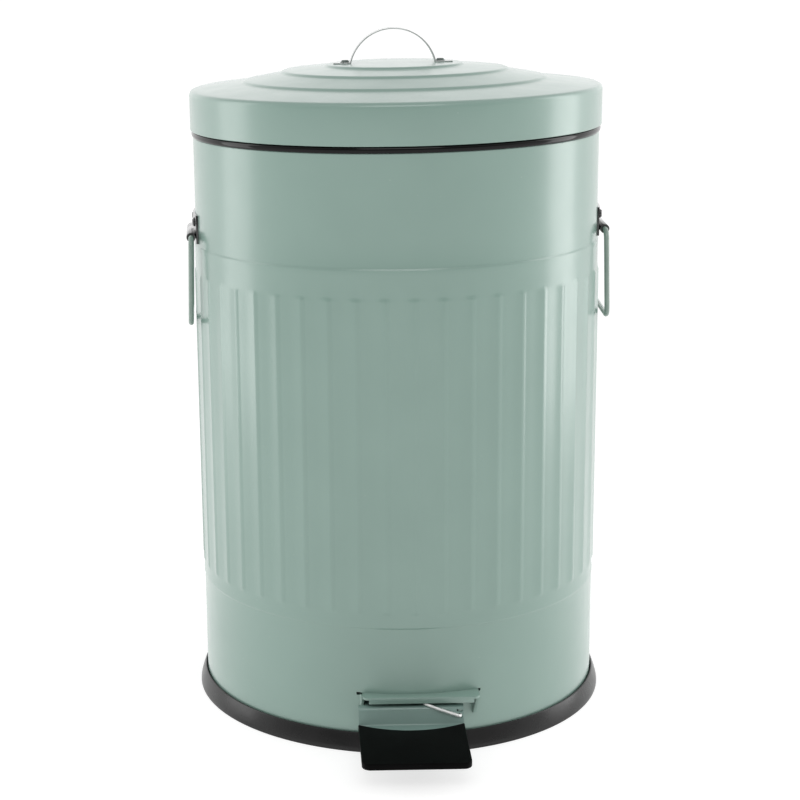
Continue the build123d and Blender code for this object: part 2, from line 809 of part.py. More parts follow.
with BuildPart() as pedal_bracket_rivets:
    for plane in bracket_rivet_planes:
        rivet_on(plane, bracket_thickness + base_plate_thickness)
write(pedal_bracket_rivets, "pedal_bracket_rivets")

with BuildPart() as pedal_pivot_pin:
    with BuildSketch(Plane.YZ) as pin:
        with Locations((-pivot_place, pivot_height)):
            Circle(pivot_radius)
    extrude(pin.sketch, amount=bracket_ear_outer, both=True)
    for side in (-1, 1):
        with BuildSketch(Plane.YZ.offset(side * bracket_ear_outer)) as head:
            with Locations((-pivot_place, pivot_height)):
                Circle(pivot_head_radius)
        extrude(head.sketch, amount=side * pivot_head_height)
write(pedal_pivot_pin, "pedal_pivot_pin")

# Guard: a bent visor in a slit of the drum, with a lip, a hook inside and two gussets outside
guard_bottom = guard_top - guard_thickness
gusset_start = guard_front - guard_corner
with BuildPart() as pedal_guard:
    for side, edge in ((-1, -guard_left), (1, guard_right)):
        gusset_plane = Plane(
            origin=(edge, -gusset_start, guard_bottom),
            x_dir=(-sin(radians(gusset_angle)), cos(radians(gusset_angle)), 0),
            z_dir=(cos(radians(gusset_angle)), sin(radians(gusset_angle)), 0),
        )
        with BuildSketch(gusset_plane) as gusset:
            with BuildLine():
                Polyline((0, guard_thickness / 2), (gusset_run, guard_thickness / 2),
                         (gusset_run, -gusset_drop), (gusset_run / 2, -gusset_drop), close=True)
            make_face()
        extrude(gusset.sketch, amount=-side * guard_thickness)
    with BuildSketch(Plane.XY.offset(guard_bottom - 2 * gusset_drop)) as wall:
        Circle(lower_band_radius + seat_gap)
    extrude(wall.sketch, amount=4 * gusset_drop, mode=Mode.SUBTRACT)
    with BuildSketch(Plane.XY.offset(guard_bottom)) as visor:
        with BuildLine():
            Polyline((-guard_left, -guard_rear), (-guard_left, -guard_front),
                     (guard_right, -guard_front), (guard_right, -guard_rear), close=True)
        make_face()
        fillet(visor.vertices().group_by(Axis.Y)[0], guard_corner)
    extrude(visor.sketch, amount=guard_thickness)
    with Locations(((guard_right - guard_left) / 2, -guard_front, guard_bottom + guard_thickness / 2)):
        Box(guard_left + guard_right - 2 * guard_corner, guard_thickness, guard_lip - guard_thickness / 2,
            align=(Align.CENTER, Align.MIN, Align.MAX))
    with Locations((0, -guard_rear, guard_bottom)):
        Box(2 * guard_hook_half_width, guard_thickness, guard_hook_height + guard_thickness,
            align=(Align.CENTER, Align.MAX, Align.MIN))
write(pedal_guard, "pedal_guard")

# Side handles: on each side a plate with a rolled barrel, and a wire loop that hangs from it
for side, name in ((-1, "left"), (1, "right")):
    barrel_plane = wall_plane(side * handle_angle, bail_axis_height, bail_axis_radius)
    with BuildPart() as handle_plate:
        with BuildSketch(Plane.XY.offset(plate_bottom)) as sheet:
            Circle(drum_radius + seat_gap + plate_thickness)
            Circle(drum_radius + seat_gap, mode=Mode.SUBTRACT)
            with Locations(Pos(barrel_plane.origin.X, barrel_plane.origin.Y) * Rot(0, 0, side * handle_angle)):
                Rectangle(2 * plate_half_width, drum_radius, mode=Mode.INTERSECT)
        extrude(sheet.sketch, amount=plate_top - plate_bottom)
        barrel_end = Plane(barrel_plane.origin, x_dir=barrel_plane.y_dir, z_dir=barrel_plane.x_dir)
        with BuildSketch(barrel_end) as barrel:
            Circle(barrel_radius)
        extrude(barrel.sketch, amount=barrel_length / 2, both=True)
        with BuildSketch(Plane.XY.offset(plate_bottom - barrel_radius)) as wall:
            Circle(drum_radius + seat_gap)
        extrude(wall.sketch, amount=2 * (plate_top - plate_bottom), mode=Mode.SUBTRACT)
        with BuildSketch(barrel_end) as bore:
            Circle(bail_wire_radius + pin_clearance)
        extrude(bore.sketch, amount=barrel_length, both=True, mode=Mode.SUBTRACT)
        for plane in handle_rivet_planes:
            rivet_hole_on(plane, 2 * plate_thickness)
    write(handle_plate, f"{name}_handle_plate")

    loop_plane = Plane(
        barrel_plane.origin,
        x_dir=barrel_plane.x_dir,
        z_dir=barrel_plane.z_dir + barrel_plane.y_dir * tan(radians(bail_lean)),
    )
    with BuildPart() as handle_bail:
        with BuildLine(loop_plane) as loop:
            FilletPolyline(
                (bail_ends_gap / 2, 0),
                (bail_width / 2, 0),
                (bail_width / 2, -bail_drop),
                (-bail_width / 2, -bail_drop),
                (-bail_width / 2, 0),
                (-bail_ends_gap / 2, 0),
                radius=bail_corner,
            )
        with BuildSketch(Plane(loop.line @ 0, z_dir=loop.line % 0)) as wire:
            Circle(bail_wire_radius)
        sweep(wire.sketch, path=loop.line)
    write(handle_bail, f"{name}_handle_bail")

with BuildPart() as handle_rivets:
    for plane in handle_rivet_planes:
        rivet_on(plane, plate_thickness + 2 * seat_gap + drum_radius - drum_inner_radius)
write(handle_rivets, "handle_rivets")

# Inner bucket: a moulded pail that hangs by its rim on the collar, with a wire bail on its shoulder
bucket_mouth_foot = seat_top - bucket_mouth_depth
bucket_shoulder_radius = bucket_mouth_radius - bucket_shoulder
bail_rest = bucket_mouth_foot + bucket_wall + bucket_bail_wire + clearance
with BuildPart() as inner_bucket:
    turned([
        (0, bucket_bottom),
        (bucket_bottom_radius, bucket_bottom),
        (bucket_shoulder_radius, bucket_mouth_foot),
        (bucket_mouth_radius, bucket_mouth_foot),
        (bucket_mouth_radius, seat_top),
        (bucket_rim_radius, seat_top),
        (bucket_rim_radius, seat_top + bucket_rim_thickness),
        (bucket_mouth_radius - bucket_wall, seat_top + bucket_rim_thickness),
        (bucket_mouth_radius - bucket_wall, bucket_mouth_foot + bucket_wall),
        (bucket_shoulder_radius - bucket_wall, bucket_mouth_foot + bucket_wall),
        (bucket_bottom_radius - bucket_wall, bucket_bottom + bucket_wall),
        (0, bucket_bottom + bucket_wall),
    ])
    with BuildSketch(Plane.YZ) as bore:
        with Locations((0, bail_rest)):
            Circle(bucket_bail_wire + pin_clearance)
    extrude(bore.sketch, amount=bucket_rim_radius, both=True, mode=Mode.SUBTRACT)
write(inner_bucket, "inner_bucket")

with BuildPart() as bucket_bail:
    with BuildSketch(Plane((bucket_bail_radius, 0, bail_rest), x_dir=(1, 0, 0), z_dir=(0, 1, 0))) as wire:
        Circle(bucket_bail_wire)
    revolve(wire.sketch, axis=Axis.Z, revolution_arc=-180)
    for side in (-1, 1):
        with BuildSketch(Plane.YZ.offset(side * bucket_bail_radius)) as stub:
            with Locations((0, bail_rest)):
                Circle(bucket_bail_wire)
        extrude(stub.sketch, amount=side * (seat_radius - clearance - bucket_bail_radius))
write(bucket_bail, "bucket_bail")
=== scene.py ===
"""The looks of a retro pedal bin: painted steel body and lid, black mouldings, bright and plated wire.

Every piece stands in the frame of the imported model, in metres, and rides on one of its bodies.
"""

import logging
import math
from collections.abc import Callable, Sequence
from dataclasses import dataclass, field
from enum import Enum
from functools import partial

import bmesh
import bpy
from mathutils import Matrix, Vector


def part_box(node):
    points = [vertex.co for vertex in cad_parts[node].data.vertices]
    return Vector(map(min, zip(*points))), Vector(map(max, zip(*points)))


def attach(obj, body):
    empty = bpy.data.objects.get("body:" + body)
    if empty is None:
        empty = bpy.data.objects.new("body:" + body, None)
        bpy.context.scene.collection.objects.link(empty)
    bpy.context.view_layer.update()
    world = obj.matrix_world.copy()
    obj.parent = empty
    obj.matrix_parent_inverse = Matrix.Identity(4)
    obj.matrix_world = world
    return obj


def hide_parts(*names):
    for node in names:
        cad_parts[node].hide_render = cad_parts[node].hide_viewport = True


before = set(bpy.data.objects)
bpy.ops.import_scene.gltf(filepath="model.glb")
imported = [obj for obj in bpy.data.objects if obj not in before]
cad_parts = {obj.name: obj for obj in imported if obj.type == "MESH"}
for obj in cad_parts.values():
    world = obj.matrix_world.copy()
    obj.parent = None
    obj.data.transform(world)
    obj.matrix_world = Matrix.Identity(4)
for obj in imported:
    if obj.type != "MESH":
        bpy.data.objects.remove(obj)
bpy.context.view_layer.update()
LOG = logging.getLogger("pedal_bin")
MM = 0.001
# A pole is drawn as a ring this small, in millimetres, which the merging of doubles then closes.
POLE_RADIUS = 0.01
# For a copy of a part, in millimetres and degrees: points this near are one, faces that meet flatter
# than this are one, edges sharper than this are eased, and edges sharper than this stay crisp.
COPY_MERGE = 0.004
COPY_FLAT = 0.6
COPY_SHARP = 38.0
COPY_CRISP = 32.0

Point = tuple[float, float]
Corner = tuple[float, float, float]
Colour = tuple[float, float, float, float]
Socket = bpy.types.NodeSocket


class Body(Enum):
    """The moving bodies of the bin."""

    DRUM = "drum"
    LID = "lid"
    PEDAL = "pedal"
    ROD = "rod"
    LEFT_BAIL = "left_bail"
    RIGHT_BAIL = "right_bail"
    BUCKET = "bucket"
    BUCKET_HANDLE = "bucket_handle"


# ---------------------------------------------------------------- colours and nodes


def linear(hex_colour: str) -> Colour:
    """Turn an sRGB hex colour into linear light.

    Args:
        hex_colour: six hex digits after a hash.

    Returns:
        Red, green, blue and an alpha of one.
    """
    parts = [int(hex_colour[i : i + 2], 16) / 255 for i in (1, 3, 5)]
    light = [p / 12.92 if p <= 0.04045 else ((p + 0.055) / 1.055) ** 2.4 for p in parts]
    return (light[0], light[1], light[2], 1.0)


def per_mm(size: float) -> float:
    """Give a texture's scale from the size of its grains in millimetres."""
    return 1.0 / (size * MM)


def add_node(
    tree: bpy.types.NodeTree, kind: str, settings: dict | None = None, **inputs: object
) -> bpy.types.Node:
    """Add a node to a tree, set it up and link it.

    Args:
        tree: the tree that takes the node.
        kind: the node's type name.
        settings: attributes of the node.
        inputs: values or output sockets for its inputs, by name, with underscores for spaces;
            a name such as i6 means the input's number.

    Returns:
        The new node.
    """
    node = tree.nodes.new(kind)
    for key, value in (settings or {}).items():
        setattr(node, key, value)
    for key, value in inputs.items():
        numbered = key[0] == "i" and key[1:].isdigit()
        socket = node.inputs[int(key[1:]) if numbered else key.replace("_", " ")]
        if isinstance(value, Socket):
            tree.links.new(value, socket)
        else:
            socket.default_value = value
    return node


class Surface:
    """A material in the making: one shader, and patterns that vary its colour, gloss and relief."""

    def __init__(self, name: str) -> None:
        """Start a material with one shader and its output.

        Args:
            name: the material's name.
        """
        self.material = bpy.data.materials.new(name)
        self.material.use_nodes = True
        self.tree = self.material.node_tree
        self.tree.nodes.clear()
        self.shader = add_node(self.tree, "ShaderNodeBsdfPrincipled")
        add_node(self.tree, "ShaderNodeOutputMaterial", Surface=self.shader.outputs["BSDF"])
        self.place = add_node(self.tree, "ShaderNodeTexCoord").outputs["Object"]

    def tint(self, pattern: Socket, span: Point, shares: Point, colours: Sequence[Colour | Socket]) -> Socket:
        """Mix two colours by a pattern and give the shader the result.

        Args:
            pattern: the pattern that leads the mix.
            span: the pattern's values at which the mix starts and stops changing.
            shares: the second colour's share at those two values.
            colours: the two colours, or sockets that give them.

        Returns:
            The mixed colour, for a further tint over it.
        """
        share = add_node(
            self.tree, "ShaderNodeMapRange",
            Value=pattern, From_Min=span[0], From_Max=span[1], To_Min=shares[0], To_Max=shares[1],
        )
        mix = add_node(
            self.tree, "ShaderNodeMix", {"data_type": "RGBA"},
            i0=share.outputs["Result"], i6=colours[0], i7=colours[1],
        )
        self.tree.links.new(mix.outputs[2], self.shader.inputs["Base Color"])
        return mix.outputs[2]

    def roughen(self, pattern: Socket, span: Point, levels: Point) -> None:
        """Let a pattern lead the roughness.

        Args:
            pattern: the pattern.
            span: the pattern's values at which the roughness starts and stops changing.
            levels: the roughness at those two values.
        """
        level = add_node(
            self.tree, "ShaderNodeMapRange",
            Value=pattern, From_Min=span[0], From_Max=span[1], To_Min=levels[0], To_Max=levels[1],
        )
        self.tree.links.new(level.outputs["Result"], self.shader.inputs["Roughness"])

    def emboss(self, pattern: Socket, strength: float, depth: float) -> None:
        """Raise a fine relief from a pattern.

        Args:
            pattern: the pattern.
            strength: how much of the relief shows, from 0 to 1.
            depth: the relief's depth in metres.
        """
        bump = add_node(self.tree, "ShaderNodeBump", Height=pattern, Strength=strength, Distance=depth)
        self.tree.links.new(bump.outputs["Normal"], self.shader.inputs["Normal"])

    def finish(self, **settings: float | Colour) -> bpy.types.Material:
        """Set the shader's even values.

        Args:
            settings: values by the name of the shader's input, with underscores for spaces.

        Returns:
            The finished material.
        """
        for key, value in settings.items():
            self.shader.inputs[key.replace("_", " ")].default_value = value
        return self.material


@dataclass(frozen=True)
class SatinEnamel:
    """Stoved satin enamel on sheet steel, sprayed: a soft sheen over a very faint orange peel."""

    name: str
    colour: str
    shade: str
    roughness: float = 0.36
    peel: float = 2.2
    peel_strength: float = 0.12
    peel_depth: float = 0.00012
    clouds: float = 60.0
    rub: float = 18.0
    dust_gap: float = 9.0
    dust_share: float = 0.35
    dust_colour: str = "#c9d2cc"
    coat: float = 0.8
    coat_roughness: float = 0.22
    ior: float = 1.5

    def make(self) -> bpy.types.Material:
        """Build the material.

        Returns:
            The finished material.
        """
        surface = Surface(self.name)
        tree, place = surface.tree, surface.place
        # The coat is a little thicker in places, which the eye sees as a slight change of depth.
        clouds = add_node(tree, "ShaderNodeTexNoise", Vector=place, Scale=per_mm(self.clouds), Detail=3.0)
        shades = (linear(self.shade), linear(self.colour))
        paint = surface.tint(clouds.outputs["Fac"], (0.35, 0.65), (0.0, 1.0), shades)
        # Specks of dust under the coat, about a third of a millimetre across.
        dust = add_node(
            tree, "ShaderNodeTexVoronoi", Vector=place, Scale=per_mm(self.dust_gap), Randomness=1.0
        )
        speck = (paint, linear(self.dust_colour))
        surface.tint(dust.outputs["Distance"], (0.018, 0.03), (self.dust_share, 0.0), speck)
        # Handling leaves the sheen a little duller in patches.
        rub = add_node(tree, "ShaderNodeTexNoise", Vector=place, Scale=per_mm(self.rub), Detail=4.0)
        levels = (self.roughness - 0.03, self.roughness + 0.04)
        surface.roughen(rub.outputs["Fac"], (0.3, 0.7), levels)
        peel = add_node(tree, "ShaderNodeTexNoise", Vector=place, Scale=per_mm(self.peel), Detail=1.0)
        surface.emboss(peel.outputs["Fac"], self.peel_strength, self.peel_depth)
        return surface.finish(
            IOR=self.ior, Coat_Weight=self.coat, Coat_Roughness=self.coat_roughness, Coat_IOR=self.ior
        )


@dataclass(frozen=True)
class Moulding:
    """Injection-moulded plastic with a tool texture: fine grain, a few flow clouds, dull dust."""

    name: str
    colour: str
    worn: str
    roughness: float
    flow: float = 25.0
    grain: float = 1.1
    grain_strength: float = 0.5
    depth: float = 0.00004
    dust: float = 0.12
    dust_gap: float = 2.6
    dust_colour: str = "#8f9190"
    gloss: float = 0.5
    ior: float = 1.49

    def make(self) -> bpy.types.Material:
        """Build the material.

        Returns:
            The finished material.
        """
        surface = Surface(self.name)
        tree, place = surface.tree, surface.place
        # The plastic's flow into the mould leaves wide clouds of slightly different black and gloss.
        flow = add_node(tree, "ShaderNodeTexNoise", Vector=place, Scale=per_mm(self.flow), Detail=5.0)
        shades = (linear(self.colour), linear(self.worn))
        body = surface.tint(flow.outputs["Fac"], (0.35, 0.7), (0.0, 0.6), shades)
        # Lint and dust, drawn about twice as large as it is so that it shows.
        specks = add_node(
            tree, "ShaderNodeTexVoronoi", Vector=place, Scale=per_mm(self.dust_gap), Randomness=1.0
        )
        speck = (body, linear(self.dust_colour))
        surface.tint(specks.outputs["Distance"], (0.05, 0.09), (self.dust, 0.0), speck)
        levels = (self.roughness - 0.04, self.roughness + 0.06)
        surface.roughen(flow.outputs["Fac"], (0.3, 0.7), levels)
        grain = add_node(tree, "ShaderNodeTexNoise", Vector=place, Scale=per_mm(self.grain), Detail=2.0)
        surface.emboss(grain.outputs["Fac"], self.grain_strength, self.depth)
        return surface.finish(IOR=self.ior, Specular_IOR_Level=self.gloss)


@dataclass(frozen=True)
class RolledSteel:
    """Bright rolled steel strip: fine streaks along its length, drawn 0.3 mm wide so that they show."""

    name: str
    colour: str
    shade: str
    roughness: float = 0.24
    streak_length: float = 60.0
    streak_width: float = 0.3
    streak_strength: float = 0.2
    streak_depth: float = 0.00002

    def make(self) -> bpy.types.Material:
        """Build the material.

        Returns:
            The finished material.
        """
        surface = Surface(self.name)
        stretch = (per_mm(self.streak_length), per_mm(self.streak_width), per_mm(self.streak_length))
        along = add_node(surface.tree, "ShaderNodeMapping", Vector=surface.place, Scale=stretch)
        streaks = add_node(
            surface.tree, "ShaderNodeTexNoise", Vector=along.outputs["Vector"], Scale=1.0, Detail=3.0
        )
        pattern = streaks.outputs["Fac"]
        surface.tint(pattern, (0.3, 0.7), (0.0, 1.0), (linear(self.shade), linear(self.colour)))
        surface.roughen(pattern, (0.3, 0.7), (self.roughness - 0.06, self.roughness + 0.08))
        surface.emboss(pattern, self.streak_strength, self.streak_depth)
        return surface.finish(Metallic=1.0)


@dataclass(frozen=True)
class ZincPlate:
    """Zinc-plated or galvanised steel: pale, with crystal patches and a faint warm or blue cast."""

    name: str
    colour: str
    cast: str
    crystal: float
    roughness: float = 0.34
    skin: float = 0.9
    skin_strength: float = 0.25
    skin_depth: float = 0.00003

    def make(self) -> bpy.types.Material:
        """Build the material.

        Returns:
            The finished material.
        """
        surface = Surface(self.name)
        tree, place = surface.tree, surface.place
        # Each crystal has its own tone and its own gloss.
        crystals = add_node(tree, "ShaderNodeTexVoronoi", Vector=place, Scale=per_mm(self.crystal))
        patch = add_node(tree, "ShaderNodeSeparateColor", Color=crystals.outputs["Color"])
        shades = (linear(self.colour), linear(self.cast))
        surface.tint(patch.outputs["Red"], (0.0, 1.0), (0.0, 0.7), shades)
        levels = (self.roughness - 0.07, self.roughness + 0.09)
        surface.roughen(patch.outputs["Green"], (0.0, 1.0), levels)
        skin = add_node(tree, "ShaderNodeTexNoise", Vector=place, Scale=per_mm(self.skin), Detail=3.0)
        surface.emboss(skin.outputs["Fac"], self.skin_strength, self.skin_depth)
        return surface.finish(Metallic=1.0)


class Finish(Enum):
    """The finishes of the bin, one for each material slot and variant."""

    SAGE_ENAMEL = SatinEnamel("satin_enamel_sage", "#829d93", "#7f9a90")
    # The lever wears the body's sage enamel made darker: painted shade, standing in for the shadow over its
    # web under the guard.
    LEVER_ENAMEL = SatinEnamel("satin_enamel_sage_lever_painted_shade", "#76918a", "#728d85", roughness=0.45)
    WIRE_ENAMEL = SatinEnamel(
        "dipped_enamel_wire", "#84978d", "#7c8f86", roughness=0.4, peel=1.4, clouds=12.0
    )
    RIVET_ENAMEL = SatinEnamel(
        "stoved_enamel_rivet", "#5b6a64", "#46534e", roughness=0.3, peel=1.0, clouds=4.0
    )
    BLACK_ENAMEL = SatinEnamel(
        "gloss_enamel_black", "#151716", "#101111", roughness=0.2, peel=1.5, clouds=15.0
    )
    GLOSS_ABS = Moulding(
        "gloss_abs_black", "#030303", "#070707", 0.1, grain=3.0, depth=0.00001, dust=0.0, gloss=0.25
    )
    RING_PP = Moulding(
        "satin_polypropylene_black", "#141414", "#1e1c1d", 0.28,
        grain=2.4, depth=0.0001, dust=0.06, gloss=0.4,
    )
    PAD_RUBBER = Moulding(
        "moulded_rubber_black", "#050505", "#0a0a0a", 0.45, grain=0.9, dust=0.1, gloss=0.04
    )
    BUCKET_PP = Moulding(
        "moulded_polypropylene_grey", "#2b2d2d", "#343636", 0.42, grain=1.6, dust=0.05
    )
    STRAP_STEEL = RolledSteel("rolled_steel_strip", "#d9dbda", "#b9bcbb")
    ZINC_WIRE = ZincPlate("zinc_plated_wire", "#e4e5e2", "#d5d7d8", 1.2, roughness=0.3)
    SPRING_WIRE = ZincPlate("bright_zinc_spring_wire", "#f6f7f5", "#eceeee", 1.2, roughness=0.6)
    ZINC_SHEET = ZincPlate("galvanised_sheet", "#c3c6c6", "#a9adb0", 6.0)


@dataclass
class PaintStore:
    """The materials made so far, so that each finish is made once."""

    made: dict[Finish, bpy.types.Material] = field(default_factory=dict)

    def dress(self, piece: bpy.types.Object, finish: Finish) -> None:
        """Give a piece one finish.

        Args:
            piece: the object to dress.
            finish: the finish.
        """
        if finish not in self.made:
            self.made[finish] = finish.value.make()
        piece.data.materials.clear()
        piece.data.materials.append(self.made[finish])


STORE = PaintStore()


# ---------------------------------------------------------------- modelling by hand


def clear_selection() -> None:
    """Leave edit mode and deselect everything, before a new primitive is added."""
    if bpy.context.mode != "OBJECT":
        bpy.ops.object.mode_set(mode="OBJECT")
    bpy.ops.object.select_all(action="DESELECT")


def take(piece: bpy.types.Object) -> None:
    """Make one object the only selected one, and the active one.

    Args:
        piece: the object.
    """
    clear_selection()
    piece.select_set(True)
    bpy.context.view_layer.objects.active = piece


def pick_points(piece: bpy.types.Object, wanted: Callable[[Vector], bool]) -> None:
    """In edit mode, select the points of a mesh that pass a test.

    Args:
        piece: the object in edit mode.
        wanted: the test, on a point's place.
    """
    mesh = bmesh.from_edit_mesh(piece.data)
    for vertex in mesh.verts:
        vertex.select = wanted(vertex.co)
    mesh.select_flush(True)
    bmesh.update_edit_mesh(piece.data, loop_triangles=False, destructive=False)


def settle(piece: bpy.types.Object, angle: float = 35.0) -> None:
    """Put a piece's origin at the frame's origin and smooth its faces.

    Args:
        piece: the piece.
        angle: the bend in degrees above which an edge stays sharp.
    """
    take(piece)
    bpy.ops.object.transform_apply(location=True, rotation=True, scale=True)
    bpy.ops.object.shade_smooth_by_angle(angle=math.radians(angle))


def lathe(name: str, profile: Sequence[Point], columns: int = 256, turn: float = 0.0) -> bpy.types.Object:
    """Draw a ring of points up through a profile, as on a lathe, into a closed skin.

    Args:
        name: the piece's name.
        profile: (radius, height) in millimetres; a closed section ends where it starts, and an
            open one ends at radius 0 on both ends.
        columns: how many points go round.
        turn: the angle of the first column, in degrees.

    Returns:
        The new object.
    """
    clear_selection()
    radius, height = max(profile[0][0], POLE_RADIUS), profile[0][1]
    bpy.ops.mesh.primitive_circle_add(
        vertices=columns,
        radius=radius * MM,
        location=(0, 0, height * MM),
        rotation=(0, 0, math.radians(turn)),
    )
    piece = bpy.context.object
    piece.name = piece.data.name = name
    bpy.ops.object.mode_set(mode="EDIT")
    bpy.ops.mesh.select_all(action="SELECT")
    for next_radius, next_height in profile[1:]:
        next_radius = max(next_radius, POLE_RADIUS)
        bpy.ops.mesh.extrude_region_move(
            TRANSFORM_OT_translate={"value": (0, 0, (next_height - height) * MM)}
        )
        grow = next_radius / radius
        bpy.ops.transform.resize(value=(grow, grow, 1), center_override=(0, 0, next_height * MM))
        radius, height = next_radius, next_height
    bpy.ops.mesh.select_all(action="SELECT")
    bpy.ops.mesh.remove_doubles(threshold=2 * POLE_RADIUS * MM)
    bpy.ops.mesh.normals_make_consistent(inside=False)
    # The operator goes by the outermost face, which a tight bend misleads, so the volume's sign decides.
    if bmesh.from_edit_mesh(piece.data).calc_volume(signed=True) < 0:
        bpy.ops.mesh.flip_normals()
    bpy.ops.object.mode_set(mode="OBJECT")
    settle(piece)
    return piece


def rounded(corner: Point, before: Point, after: Point, radius: float, steps: int = 4) -> list[Point]:
    """Round one corner of a profile.

    Args:
        corner: the corner's (radius, height).
        before: the point before it.
        after: the point after it.
        radius: how far along each side the rounding starts, in millimetres.
        steps: how many pieces the bend has.

    Returns:
        Points along the bend.
    """
    middle = Vector(corner)
    start = middle + (Vector(before) - middle).normalized() * radius
    end = middle + (Vector(after) - middle).normalized() * radius
    points = []
    for i in range(steps + 1):
        t = i / steps
        point = start * (1 - t) ** 2 + middle * (2 * t * (1 - t)) + end * t**2
        points.append((point.x, point.y))
    return points


def soft_profile(corners: Sequence[Corner], steps: int = 4) -> list[Point]:
    """Turn a closed section with a rounding at each corner into profile points.

    Args:
        corners: (radius, height, rounding) of each corner in order, in millimetres.
        steps: how many pieces each bend has.

    Returns:
        The closed profile, which ends where it starts.
    """
    points: list[Point] = []
    count = len(corners)
    for i, (radius, height, bend) in enumerate(corners):
        before, after = corners[i - 1], corners[(i + 1) % count]
        if bend:
            points += rounded((radius, height), before[:2], after[:2], bend, steps)
        else:
            points.append((radius, height))
    return points + [points[0]]


def cut_boxes(piece: bpy.types.Object, boxes: Sequence[tuple[Vector, Vector]]) -> None:
    """Cut openings out of a piece.

    Args:
        piece: the object to cut.
        boxes: the lowest and highest corner of each opening, in metres.
    """
    for low, high in boxes:
        clear_selection()
        bpy.ops.mesh.primitive_cube_add(size=1.0, location=(low + high) / 2)
        cutter = bpy.context.object
        cutter.scale = high - low
        bpy.ops.object.transform_apply(location=True, rotation=True, scale=True)
        take(piece)
        modifier = piece.modifiers.new("opening", "BOOLEAN")
        modifier.operation = "DIFFERENCE"
        modifier.solver = "EXACT"
        modifier.object = cutter
        bpy.ops.object.modifier_apply(modifier=modifier.name)
        bpy.data.objects.remove(cutter)
    settle(piece)


def eased_copy(node: str, ease: float = 0.0) -> bpy.types.Object:
    """Copy a part's mesh, merge it and ease its sharp edges, as tumbling or a mould does.

    Args:
        node: the part's name; the new piece's name is this with _piece after it.
        ease: the width of the eased edge, in millimetres; 0 leaves the edges sharp.

    Returns:
        The new object.
    """
    piece = bpy.data.objects.new(node + "_piece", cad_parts[node].data.copy())
    bpy.context.scene.collection.objects.link(piece)
    take(piece)
    bpy.ops.object.mode_set(mode="EDIT")
    bpy.ops.mesh.select_all(action="SELECT")
    bpy.ops.mesh.remove_doubles(threshold=COPY_MERGE * MM)
    if ease:
        # The part's flat faces come in triangles, which would stop the bevel.
        bpy.ops.mesh.dissolve_limited(angle_limit=math.radians(COPY_FLAT))
    bpy.ops.object.mode_set(mode="OBJECT")
    if ease:
        modifier = piece.modifiers.new("eased", "BEVEL")
        modifier.width = ease * MM
        modifier.segments = 2
        modifier.limit_method = "ANGLE"
        modifier.angle_limit = math.radians(COPY_SHARP)
        modifier.use_clamp_overlap = True
        bpy.ops.object.modifier_apply(modifier=modifier.name)
    settle(piece, COPY_CRISP)
    return piece


def fit(piece: bpy.types.Object, body: Body, node: str, finish: Finish) -> None:
    """Let a piece ride on a body in place of a part, and dress it.

    Args:
        piece: the piece.
        body: what it moves with.
        node: the part that it stands for.
        finish: its finish.
    """
    STORE.dress(piece, finish)
    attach(piece, body.value)
    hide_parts(node)
    LOG.info("%s rides on %s, %d faces", piece.name, body.value, len(piece.data.polygons))


# ---------------------------------------------------------------- the drum and what is fixed to it


